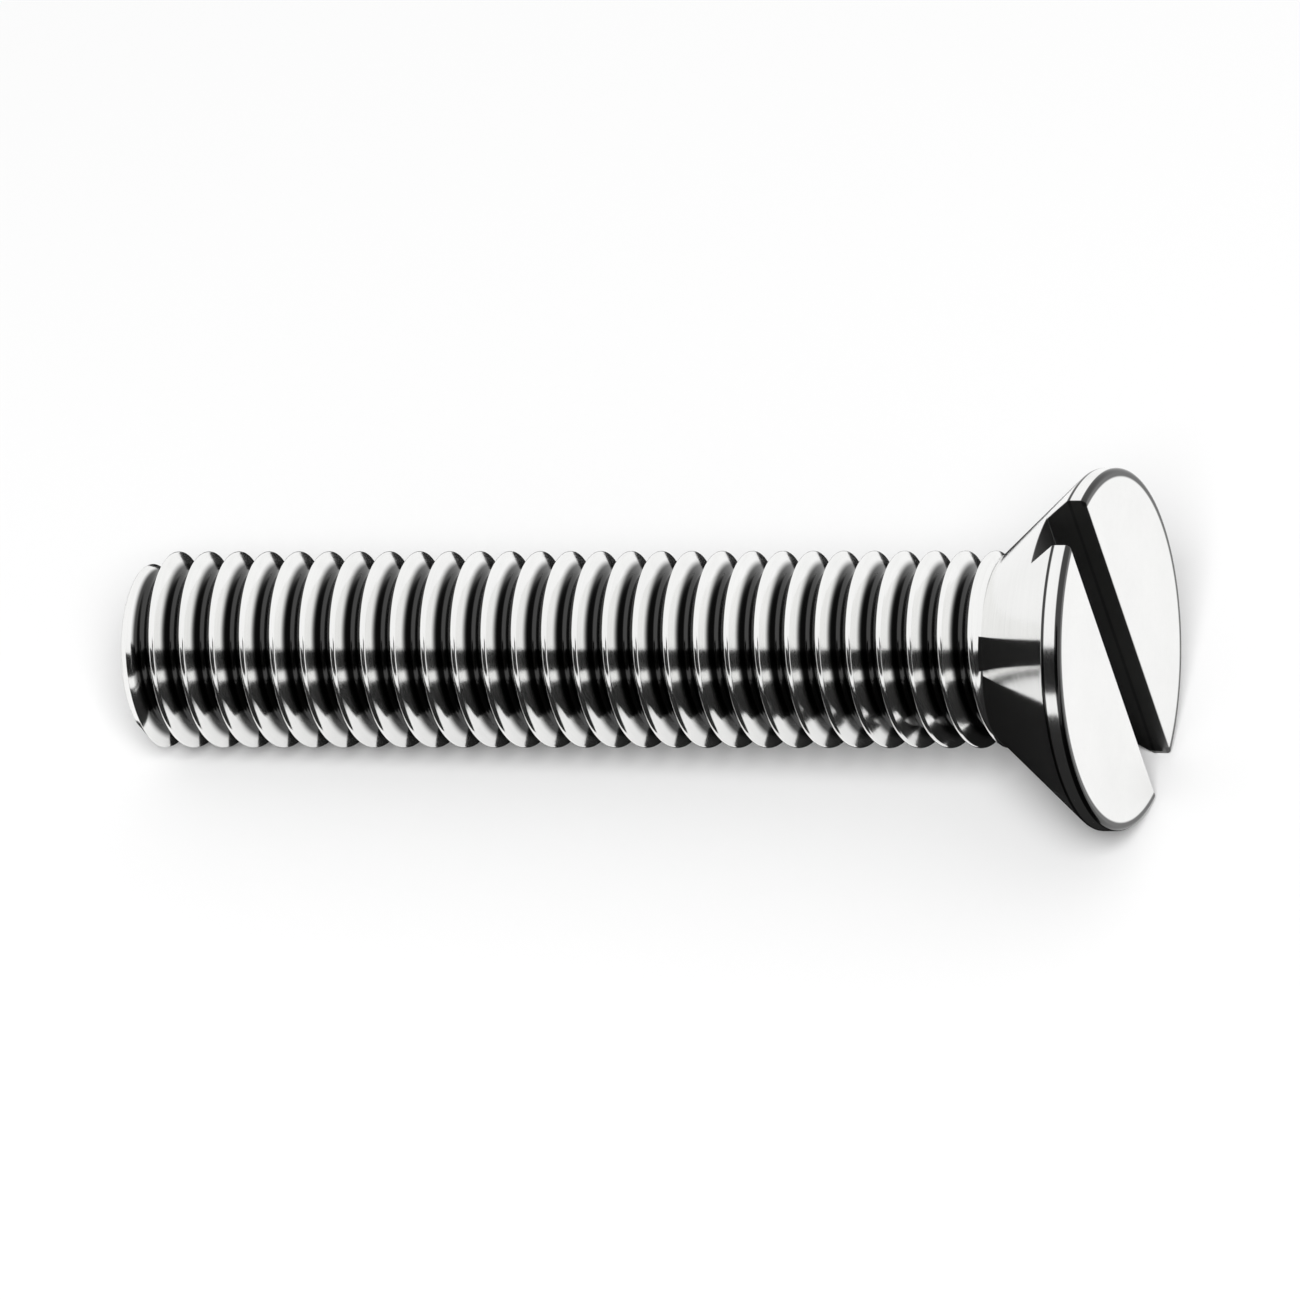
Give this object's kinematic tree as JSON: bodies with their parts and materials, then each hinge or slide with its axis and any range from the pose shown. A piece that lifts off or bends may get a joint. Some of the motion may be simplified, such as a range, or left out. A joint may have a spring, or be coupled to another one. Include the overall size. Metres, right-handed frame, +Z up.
{
  "type": "slotted flat head machine screw",
  "caption": "Fully threaded machine screw with a countersunk flat head and a straight driving slot across its face.",
  "frame": {"origin": "bottom centre of the screw as it lies, on the surface it rests on", "axes": "+X along the screw towards the head's face, which leans up by 4.56 degrees, +Z up"},
  "size_m": [0.0258, 0.0088, 0.0087],
  "materials": {
    "plated_steel": "bright zinc plated, polished by the thread rolling, darker inside the slot"
  },
  "bodies": {
    "root": {"machine_screw": "plated_steel"}
  },
  "joints": []
}
